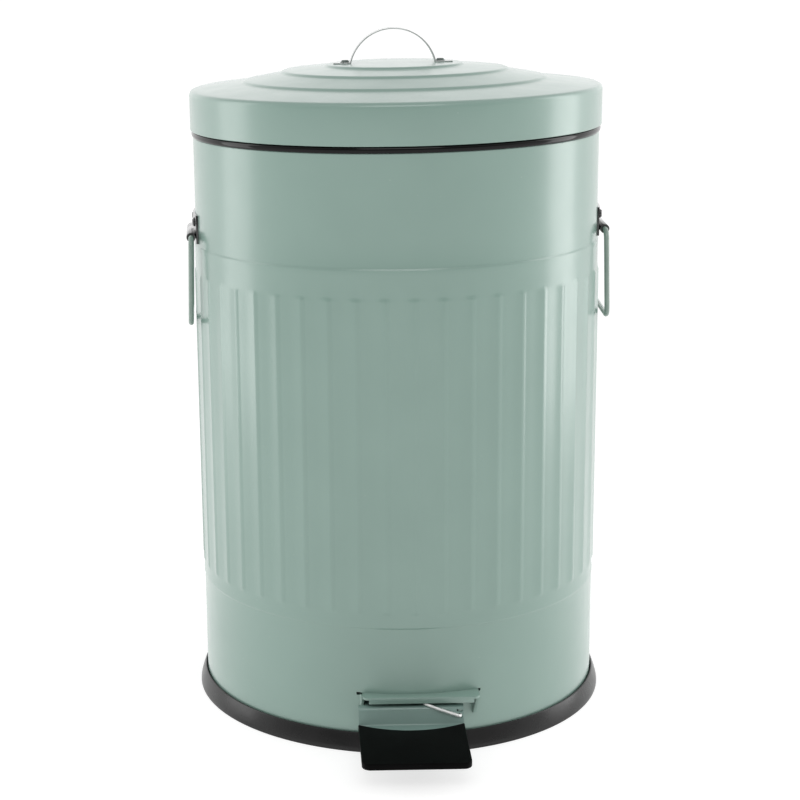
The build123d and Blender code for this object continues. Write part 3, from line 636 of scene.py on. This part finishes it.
@dataclass
class Drum:
    """The drum: a rolled sheet with two beads and a band of pressed ribs. Sizes in millimetres."""

    inner_radius: float = 124.0
    top_radius: float = 125.0
    panel_radius: float = 125.7
    low_radius: float = 125.5
    edge_in: float = 0.3
    edge_down: float = 0.4
    low_rows: tuple[float, ...] = (30.0, 55.0)
    top_rows: tuple[float, ...] = (310.0, 335.0, 352.0)
    inside_row: float = 200.0

    # Each bead is a step in the sheet: (height from its middle, share of the step) of each of its rows.
    lower_bead: float = 77.7
    lower_crest: float = 0.25
    lower_rows: tuple[Point, ...] = ((-0.7, 0.0), (-0.35, 0.12), (0.0, 0.5), (0.35, 0.88), (0.7, 1.0))
    lower_run: float = 3.4
    upper_bead: float = 292.7
    upper_crest: float = 0.12
    upper_rows: tuple[Point, ...] = ((-0.9, 1.0), (-0.45, 0.9), (0.0, 0.5), (0.45, 0.1), (0.9, 0.0))
    upper_run: float = 4.0

    # Each rib is a sharp crest beside a slow slope: its lift at each of its columns.
    rib_count: int = 47
    rib_turn: float = 1.75
    rib_bottom: float = 86.0
    rib_top: float = 276.0
    rib_rows: tuple[float, ...] = (130.0, 180.0, 230.0)
    rib_lift: tuple[float, ...] = (0.75, 0.25, 0.19, 0.14, 0.08, 0.03, 0.0, 0.01, 0.08, 0.20, 0.37, 0.56)
    end_lift: tuple[float, ...] = (0.12, 0.45, 0.8, 0.96)
    end_step: float = 0.8
    row_reach: float = 0.3
    skin_reach: float = 0.2

    cut_front: float = -140.0
    cut_inside: float = -90.0
    door_half_width: float = 29.0
    door_foot: float = 23.0
    door_over_lever: float = 2.6
    slit_left: float = 32.0
    slit_right: float = 42.5
    slit_over_lever: float = 4.3
    guard_over_lever: float = 6.0
    slit_room: float = 0.2
    slit_tuck: float = 0.05
    slit_lap: float = 0.5
    notch_half_width: float = 14.0
    notch_depth: float = 6.0
    notch_start: float = 100.0
    notch_end: float = 140.0
    notch_over: float = 5.0

    def profile(self) -> list[Point]:
        """Give the section of the sheet: up the outside, over the top and down the inside.

        Returns:
            The closed section, as (radius, height) in millimetres.
        """
        low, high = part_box("drum_shell")
        bottom, top = low.z / MM, high.z / MM
        ends = [self.end_step * i for i in range(len(self.end_lift) + 1)]
        points = [(self.inner_radius, bottom), (self.low_radius, bottom)]
        points += [(self.low_radius, z) for z in self.low_rows]
        swell = self.panel_radius + self.lower_crest - self.low_radius
        points += [(self.low_radius + swell * part, self.lower_bead + z) for z, part in self.lower_rows]
        points.append((self.panel_radius, self.lower_bead + self.lower_run))
        points += [(self.panel_radius, self.rib_bottom - self.end_step + z) for z in ends]
        points += [(self.panel_radius, z) for z in self.rib_rows]
        points += [(self.panel_radius, self.rib_top + self.end_step - z) for z in reversed(ends)]
        points.append((self.panel_radius, self.upper_bead - self.upper_run))
        swell = self.panel_radius + self.upper_crest - self.top_radius
        points += [(self.top_radius + swell * part, self.upper_bead + z) for z, part in self.upper_rows]
        points += [(self.top_radius, z) for z in (*self.top_rows, top - self.edge_down)]
        points += [(self.top_radius - self.edge_in, top), (self.inner_radius, top)]
        points += [(self.inner_radius, self.inside_row), (self.inner_radius, bottom)]
        return points

    def in_rib(self, column: int, height: float, place: Vector) -> bool:
        """Tell whether a point is on the outside of the sheet, in one column and row of a rib.

        Args:
            column: the column, counted from the rib's crest.
            height: the row's height in millimetres.
            place: the point's place in metres.

        Returns:
            Whether the point is there.
        """
        reach = math.hypot(place.x, place.y) / MM
        if abs(place.z / MM - height) > self.row_reach or reach < self.panel_radius - self.skin_reach:
            return False
        columns = len(self.rib_lift)
        step = 360.0 / (self.rib_count * columns)
        azimuth = math.degrees(math.atan2(place.x, -place.y)) - self.rib_turn
        return round(azimuth / step) % columns == column

    def press_ribs(self, shell: bpy.types.Object) -> None:
        """Press the ribs out of the sheet: each column of points moves out by its own lift.

        Args:
            shell: the sheet.
        """
        rows = [(self.rib_bottom + self.end_step * i, lift) for i, lift in enumerate(self.end_lift)]
        rows += [(z, 1.0) for z in self.rib_rows]
        rows += [(self.rib_top - self.end_step * i, lift) for i, lift in enumerate(self.end_lift)]
        take(shell)
        bpy.ops.object.mode_set(mode="EDIT")
        bpy.ops.mesh.select_mode(type="VERT")
        for column, lift in enumerate(self.rib_lift):
            if not lift:
                continue
            for height, share in rows:
                pick_points(shell, partial(self.in_rib, column, height))
                grow = 1 + lift * share / self.panel_radius
                bpy.ops.transform.resize(value=(grow, grow, 1), center_override=(0, 0, height * MM))
        bpy.ops.object.mode_set(mode="OBJECT")

    def openings(self) -> list[tuple[Vector, Vector]]:
        """Give the boxes of the lever's opening, the guard's slit and the notch at the hinge.

        Returns:
            The lowest and highest corner of each box, in metres.
        """
        guard_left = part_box("pedal_guard")[0].x
        lever_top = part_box("pedal_lever")[1].z
        drum_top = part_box("drum_shell")[1].z
        front, inside = self.cut_front * MM, self.cut_inside * MM
        door, notch = self.door_half_width * MM, self.notch_half_width * MM
        # The slit is open at the guard's left end, and along the guard it is tucked behind it.
        left, right = -self.slit_left * MM, self.slit_right * MM
        foot = lever_top + self.slit_over_lever * MM
        head = lever_top + self.guard_over_lever * MM
        boxes = [
            ((-door, front, self.door_foot * MM), (door, inside, lever_top + self.door_over_lever * MM)),
            ((left, front, foot), (guard_left + self.slit_lap * MM, inside, head + self.slit_room * MM)),
            ((guard_left, front, foot), (right, inside, head - self.slit_tuck * MM)),
            (
                (-notch, self.notch_start * MM, drum_top - self.notch_depth * MM),
                (notch, self.notch_end * MM, drum_top + self.notch_over * MM),
            ),
        ]
        return [(Vector(low), Vector(high)) for low, high in boxes]

    def build(self) -> None:
        """Build the drum and put it in its place."""
        crest_turn = self.rib_turn - 90.0
        columns = self.rib_count * len(self.rib_lift)
        shell = lathe("drum_shell_skin", self.profile(), columns, crest_turn)
        self.press_ribs(shell)
        cut_boxes(shell, self.openings())
        fit(shell, Body.DRUM, "drum_shell", Finish.SAGE_ENAMEL)


@dataclass
class Mouldings:
    """The black mouldings: the skirt at the floor and the collar at the mouth. Sizes in millimetres."""

    columns: int = 320

    ring_inner: float = 114.0
    ring_toe_height: float = 1.9
    ring_swell_in: float = 1.5
    ring_swell_height: float = 7.2
    ring_crest_outer: float = 127.0
    ring_crest_inner: float = 126.4
    ring_groove: float = 125.55
    ring_groove_down: float = 2.4
    ring_floor: float = 3.0
    ring_shelf: float = 4.5
    upstand_outer: float = 123.95
    upstand_wall: float = 1.7
    upstand_top: float = 9.0

    seat_inner: float = 111.5
    seat_wall: float = 2.5
    riser_inner: float = 117.2
    riser_outer: float = 118.8
    clasp_inner: float = 122.1
    clasp_outer: float = 123.7
    clasp_depth: float = 8.4
    collar_bulge: float = 125.9
    band_height: float = 3.6
    band_round: float = 1.0
    band_foot_in: float = 0.5
    band_head_in: float = 0.7
    rim_inner: float = 119.6
    rim_outer: float = 121.4
    notch_half_width: float = 14.0
    notch_start: float = 114.5
    notch_end: float = 150.0
    notch_foot: float = 300.0
    notch_head: float = 400.0

    def build_ring(self) -> None:
        """Build the base ring: a leaning skirt with a rounded foot, parted from the drum by a groove."""
        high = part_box("base_ring")[1]
        top, reach = high.z / MM, high.x / MM
        corners = [
            (self.ring_inner, 0.0, 0.5),
            (reach, 0.0, 0.6),
            (reach, self.ring_toe_height, 1.4),
            (reach - self.ring_swell_in, self.ring_swell_height, 2.4),
            (self.ring_crest_outer, top, 0.5),
            (self.ring_crest_inner, top, 0.25),
            (self.ring_groove, top - self.ring_groove_down, 0.2),
            (self.ring_groove, self.ring_floor, 0.0),
            (self.upstand_outer, self.ring_floor, 0.0),
            (self.upstand_outer, self.upstand_top, 0.3),
            (self.upstand_outer - self.upstand_wall, self.upstand_top, 0.3),
            (self.upstand_outer - self.upstand_wall, self.ring_shelf, 0.3),
            (self.ring_inner, self.ring_shelf, 0.5),
        ]
        ring = lathe("base_ring_skirt", soft_profile(corners), self.columns)
        fit(ring, Body.DRUM, "base_ring", Finish.RING_PP)

    def build_collar(self) -> None:
        """Build the collar: a glossy half-round band over the drum's edge, a rim and the bucket's seat."""
        low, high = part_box("top_collar")
        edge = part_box("drum_shell")[1].z / MM
        seat, rim_top = low.z / MM, high.z / MM
        band = edge + self.band_height
        corners = [
            (self.seat_inner, seat, 0.4),
            (self.riser_outer, seat, 0.4),
            (self.riser_outer, edge, 0.3),
            (self.clasp_inner, edge, 0.3),
            (self.clasp_inner, edge - self.clasp_depth, 0.3),
            (self.clasp_outer, edge - self.clasp_depth, 0.3),
            (self.clasp_outer, edge, 0.0),
            (self.collar_bulge - self.band_foot_in, edge, 0.3),
            (self.collar_bulge, edge + self.band_round, 0.6),
            (self.collar_bulge, band - self.band_round, 0.6),
            (self.collar_bulge - self.band_head_in, band, 0.5),
            (self.rim_outer, band, 0.3),
            (self.rim_outer, rim_top, 0.5),
            (self.rim_inner, rim_top, 0.5),
            (self.rim_inner, band, 0.3),
            (self.riser_inner, band, 0.6),
            (self.riser_inner, seat + self.seat_wall, 0.4),
            (self.seat_inner, seat + self.seat_wall, 0.4),
        ]
        collar = lathe("top_collar_moulding", soft_profile(corners, 3), self.columns)
        notch = self.notch_half_width * MM
        start = Vector((-notch, self.notch_start * MM, self.notch_foot * MM))
        end = Vector((notch, self.notch_end * MM, self.notch_head * MM))
        cut_boxes(collar, [(start, end)])
        fit(collar, Body.DRUM, "top_collar", Finish.GLOSS_ABS)

    def build(self) -> None:
        """Build both mouldings."""
        self.build_ring()
        self.build_collar()


# ---------------------------------------------------------------- the lid


@dataclass
class Lid:
    """The lid: a deep skirt and a low dome with three pressed steps. Sizes in millimetres."""

    columns: int = 320
    wall: float = 1.2
    hem: float = 0.7
    fold: float = 386.3
    fold_bend: float = 3.2
    bend_share: float = 0.45
    bend_steps: int = 5
    step_radii: tuple[float, ...] = (93.0, 69.5, 42.3)
    step_feet: tuple[float, ...] = (390.0, 395.4, 398.6)
    step_height: float = 1.5
    step_run: float = 1.8
    slot_half_width: float = 12.0
    slot_height: float = 14.5
    slot_below: float = 10.0
    slot_start: float = 100.0
    slot_end: float = 140.0
    handle_ease: float = 0.22
    hinge_ease: float = 0.2

    def dome(self) -> list[Point]:
        """Give the dome's corners.

        Returns:
            The foot and the head of each step, from the fold inwards.
        """
        points = []
        for radius, foot in zip(self.step_radii, self.step_feet):
            points.append((radius + self.step_run / 2, foot))
            points.append((radius - self.step_run / 2, foot + self.step_height))
        return points

    def skin(self, corners: list[Point]) -> list[Point]:
        """Round each corner of the dome softly, as the press leaves it.

        Args:
            corners: the corners, the first and the last of which stay as they are.

        Returns:
            The profile of one face of the sheet.
        """
        points = [corners[0]]
        for before, corner, after in zip(corners, corners[1:], corners[2:]):
            sides = [(Vector(corner) - Vector(end)).length for end in (before, after)]
            reach = min(self.bend_share * min(sides), self.fold_bend)
            points += rounded(corner, before, after, reach, self.bend_steps)
        return points + [corners[-1]]

    def section(self) -> list[Point]:
        """Give the section of the sheet: out along the inside, round the hem and in along the outside.

        Returns:
            The section, open at the pole, as (radius, height) in millimetres.
        """
        low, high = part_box("lid_shell")
        radius, bottom, crown = high.x / MM, low.z / MM, high.z / MM
        outside = [(radius, bottom + self.hem), (radius, self.fold)] + self.dome() + [(0.0, crown)]
        # Inside, the skirt is the wall further in, and the dome the wall further down.
        inside = []
        for reach, height in outside:
            in_by = self.wall if height <= self.fold else 0.0
            down_by = self.wall if height >= self.fold else 0.0
            inside.append((max(reach - in_by, 0.0), height - down_by))
        under_side = self.skin(inside)
        under_side[0] = (radius - self.wall, bottom)
        foot, head = (radius - self.hem, bottom), (radius, bottom + self.hem)
        bend = rounded((radius, bottom), foot, head, self.hem)[1:-1]
        return list(reversed(under_side)) + [foot] + bend + self.skin(outside)

    def build(self) -> None:
        """Build the lid's sheet, its handle, its rivets and its half of the hinge."""
        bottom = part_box("lid_shell")[0].z
        shell = lathe("lid_shell_skin", self.section(), self.columns)
        slot = self.slot_half_width * MM
        start = Vector((-slot, self.slot_start * MM, bottom - self.slot_below * MM))
        end = Vector((slot, self.slot_end * MM, bottom + self.slot_height * MM))
        cut_boxes(shell, [(start, end)])
        fit(shell, Body.LID, "lid_shell", Finish.SAGE_ENAMEL)
        for node, ease, slot_name, finish in (
            ("lid_handle", self.handle_ease, "bright_strap", Finish.STRAP_STEEL),
            ("lid_handle_rivets", 0.0, "dark_rivet", Finish.RIVET_ENAMEL),
            ("lid_hinge_bracket", self.hinge_ease, "black_hardware", Finish.BLACK_ENAMEL),
            ("lid_hinge_rivets", 0.0, "black_hardware", Finish.BLACK_ENAMEL),
        ):
            fit(eased_copy(node, ease), Body.LID, node, finish)


# ---------------------------------------------------------------- the pedal and its works


@dataclass
class PedalWorks:
    """The pedal, its guard, its bracket, the push rod and the rear hinge. Edges in millimetres."""

    ease: float = 0.2
    guard_ease: float = 0.35
    pad_ease: float = 0.45

    def build(self) -> None:
        """Build each piece from its part and dress it."""
        for node, body, ease, slot, finish in (
            ("pedal_guard", Body.DRUM, self.guard_ease, "green_paint", Finish.SAGE_ENAMEL),
            # The lever's darker sage is painted shade for its web under the guard.
            ("pedal_lever", Body.PEDAL, self.ease, "green_lever", Finish.LEVER_ENAMEL),
            ("pedal_pad", Body.PEDAL, self.pad_ease, "black_pad", Finish.PAD_RUBBER),
            ("pedal_wire", Body.PEDAL, 0.0, "zinc_steel", Finish.SPRING_WIRE),
            ("pedal_bracket", Body.DRUM, self.ease, "zinc_steel", Finish.ZINC_SHEET),
            ("pedal_bracket_rivets", Body.DRUM, 0.0, "zinc_steel", Finish.ZINC_SHEET),
            ("pedal_pivot_pin", Body.DRUM, self.ease, "zinc_steel", Finish.ZINC_WIRE),
            ("push_rod", Body.ROD, 0.0, "zinc_steel", Finish.ZINC_WIRE),
            ("rod_clips", Body.ROD, self.ease, "zinc_steel", Finish.ZINC_SHEET),
            ("rod_guides", Body.DRUM, self.ease, "grey_moulding", Finish.BUCKET_PP),
            ("base_plate", Body.DRUM, self.ease, "zinc_steel", Finish.ZINC_SHEET),
            ("drum_hinge_bracket", Body.DRUM, self.ease, "black_hardware", Finish.BLACK_ENAMEL),
            ("drum_hinge_rivets", Body.DRUM, 0.0, "black_hardware", Finish.BLACK_ENAMEL),
            ("hinge_pin", Body.DRUM, self.ease, "zinc_steel", Finish.ZINC_WIRE),
        ):
            fit(eased_copy(node, ease), body, node, finish)


@dataclass
class SideHandles:
    """The side handles: black plates with a rolled barrel, rivets and painted wire loops."""

    ease: float = 0.25

    def build(self) -> None:
        """Build both sides."""
        for side, body in (("left", Body.LEFT_BAIL), ("right", Body.RIGHT_BAIL)):
            plate = f"{side}_handle_plate"
            bail = f"{side}_handle_bail"
            fit(eased_copy(plate, self.ease), Body.DRUM, plate, Finish.BLACK_ENAMEL)
            fit(eased_copy(bail), body, bail, Finish.WIRE_ENAMEL)
        rivets = eased_copy("handle_rivets")
        fit(rivets, Body.DRUM, "handle_rivets", Finish.BLACK_ENAMEL)


@dataclass
class Bucket:
    """The inner bucket: a moulded pail with a rolled rim and a wire handle. Sizes in millimetres."""

    columns: int = 192
    mouth: float = 110.4
    shoulder: float = 106.8
    foot: float = 97.0
    wall: float = 1.6
    mouth_depth: float = 10.0
    rim_height: float = 2.0

    def build(self) -> None:
        """Build the pail and its handle."""
        low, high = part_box("inner_bucket")
        bottom, top, rim = low.z / MM, high.z / MM, high.x / MM
        seat = top - self.rim_height
        step = seat - self.mouth_depth
        corners = [
            (self.foot, bottom, 3.0),
            (self.shoulder, step, 0.8),
            (self.mouth, step, 0.8),
            (self.mouth, seat, 0.6),
            (rim, seat, 0.4),
            (rim, top, 0.9),
            (self.mouth - self.wall, top, 0.9),
            (self.mouth - self.wall, step + self.wall, 0.8),
            (self.shoulder - self.wall, step + self.wall, 0.8),
            (self.foot - self.wall, bottom + self.wall, 2.4),
        ]
        points = soft_profile(corners, 3)[:-1]
        profile = [(0.0, bottom)] + points + [(0.0, bottom + self.wall)]
        pail = lathe("inner_bucket_pail", profile, self.columns)
        fit(pail, Body.BUCKET, "inner_bucket", Finish.BUCKET_PP)
        bail = eased_copy("bucket_bail")
        fit(bail, Body.BUCKET_HANDLE, "bucket_bail", Finish.ZINC_WIRE)


# ---------------------------------------------------------------- the studio


@dataclass
class Studio:
    """A pale floor, a bright soft room and the camera. Sizes in metres, angles in degrees."""

    distance: float = 1.188
    height: float = 0.4794
    azimuth: float = -3.5
    swing: float = -4.21
    pitch: float = 13.8
    roll: float = -1.32
    sensor_width: float = 36.0
    lens_share: float = 2.3769
    shift: float = 0.175
    far_sight: float = 100.0

    front_light: float = 0.3
    side_light: float = 0.95
    back_light: float = 1.25
    top_light: float = 0.7
    front_to_side: Point = (-0.7, -0.1)
    side_to_back: Point = (0.3, 0.9)
    side_to_top: Point = (0.3, 0.8)

    floor_size: float = 60.0
    floor_colours: tuple[str, str] = ("#b4b4b3", "#bababa")
    floor_frost: float = 40.0
    table_glow: float = 0.68

    right_glow: float = 2.8
    left_glow: float = 2.0
    lamp_out: float = 0.85
    lamp_back: float = 0.1
    lamp_height: float = 0.45
    lamp_size: Point = (0.35, 0.9)
    high_glow: float = 2.6
    high_place: Corner = (0.0, -1.3, 1.5)
    high_aim: Corner = (0.0, 0.0, 0.2)
    high_size: Point = (1.2, 0.6)

    def build_camera(self) -> None:
        """Place the camera in front of the bin, a little above the lid and looking down."""
        data = bpy.data.cameras.new("studio_camera")
        camera = bpy.data.objects.new("studio_camera", data)
        bpy.context.scene.collection.objects.link(camera)
        azimuth, pitch, roll = (math.radians(a) for a in (self.azimuth, self.pitch, self.roll))
        yaw = -azimuth + math.radians(self.swing)
        level = Vector((math.cos(yaw), -math.sin(yaw), 0))
        ahead = Vector((math.sin(yaw), math.cos(yaw), 0))
        forward = ahead * math.cos(pitch) - Vector((0, 0, math.sin(pitch)))
        upright = level.cross(forward)
        right = math.cos(roll) * level + math.sin(roll) * upright
        up = -math.sin(roll) * level + math.cos(roll) * upright
        turn = Matrix((right, up, -forward)).transposed().to_4x4()
        place = Vector((self.distance * math.sin(azimuth), -self.distance * math.cos(azimuth), self.height))
        camera.matrix_world = Matrix.Translation(place) @ turn
        data.sensor_width = self.sensor_width
        data.lens = self.lens_share * self.sensor_width
        data.shift_x = self.shift
        data.clip_end = self.far_sight
        bpy.context.scene.camera = camera

    def build_floor(self) -> None:
        """Lay a large pale floor: a matt white acrylic table, lit a little from below."""
        clear_selection()
        bpy.ops.mesh.primitive_plane_add(size=self.floor_size, location=(0, 0, 0))
        floor = bpy.context.object
        floor.name = floor.data.name = "studio_floor"
        surface = Surface("matt_acrylic_white")
        # Frosting leaves faint clouds in the sheet.
        frost = add_node(
            surface.tree, "ShaderNodeTexNoise",
            Vector=surface.place, Scale=per_mm(self.floor_frost), Detail=2.0,
        )
        colours = [linear(colour) for colour in self.floor_colours]
        surface.tint(frost.outputs["Fac"], (0.0, 1.0), (0.0, 1.0), colours)
        material = surface.finish(
            Roughness=0.9,
            Specular_IOR_Level=0.1,
            Emission_Color=linear("#ffffff"),
            Emission_Strength=self.table_glow,
        )
        floor.data.materials.append(material)

    def build_room(self) -> None:
        """Light the room: bright sides, a white wall behind, and a dark side in front."""
        world = bpy.data.worlds.new("studio_room")
        bpy.context.scene.world = world
        world.use_nodes = True
        tree = world.node_tree
        tree.nodes.clear()
        direction = add_node(tree, "ShaderNodeTexCoord").outputs["Generated"]
        parts = add_node(tree, "ShaderNodeSeparateXYZ", Vector=direction)
        sides = add_node(
            tree, "ShaderNodeMapRange",
            Value=parts.outputs["Y"], From_Min=self.front_to_side[0], From_Max=self.front_to_side[1],
            To_Min=self.front_light, To_Max=self.side_light,
        )
        level = sides.outputs["Result"]
        for axis, span, light in (
            ("Y", self.side_to_back, self.back_light),
            ("Z", self.side_to_top, self.top_light),
        ):
            share = add_node(
                tree, "ShaderNodeMapRange",
                Value=parts.outputs[axis], From_Min=span[0], From_Max=span[1], To_Min=0.0, To_Max=1.0,
            )
            mix = add_node(
                tree, "ShaderNodeMix", {"data_type": "FLOAT"},
                i0=share.outputs["Result"], i2=level, i3=light,
            )
            level = mix.outputs[0]
        background = add_node(tree, "ShaderNodeBackground", Color=linear("#ffffff"), Strength=level)
        add_node(tree, "ShaderNodeOutputWorld", Surface=background.outputs["Background"])

    def add_lamp(self, name: str, place: Vector, aim: Vector, size: Point, glow: float) -> None:
        """Add a softbox that faces a point.

        Args:
            name: the lamp's name.
            place: where its middle is, in metres.
            aim: the point that it faces, in metres.
            size: its width and height in metres.
            glow: how bright its face is, where white paper in full light is 1.
        """
        data = bpy.data.lights.new(name, "AREA")
        data.shape = "RECTANGLE"
        data.size, data.size_y = size
        data.energy = glow * math.pi * size[0] * size[1]
        lamp = bpy.data.objects.new(name, data)
        lamp.location = place
        lamp.rotation_euler = (aim - place).to_track_quat("-Z", "Y").to_euler()
        bpy.context.scene.collection.objects.link(lamp)

    def build(self) -> None:
        """Build the room, the floor, the lamps and the camera."""
        bpy.context.scene.view_settings.view_transform = "Standard"
        self.build_room()
        self.build_floor()
        middle = Vector((0, self.lamp_back, self.lamp_height))
        for name, side, glow in (("right_softbox", 1, self.right_glow), ("left_softbox", -1, self.left_glow)):
            place = middle + Vector((side * self.lamp_out, 0, 0))
            self.add_lamp(name, place, middle, self.lamp_size, glow)
        high_place, high_aim = Vector(self.high_place), Vector(self.high_aim)
        self.add_lamp("high_softbox", high_place, high_aim, self.high_size, self.high_glow)
        self.build_camera()


def main() -> None:
    """Build the bin and the studio in order."""
    logging.basicConfig(level=logging.INFO, format="%(name)s: %(message)s")
    for part in (Drum(), Mouldings(), Lid(), PedalWorks(), SideHandles(), Bucket(), Studio()):
        part.build()
        LOG.info("%s done", type(part).__name__)


if __name__ == "__main__":
    main()
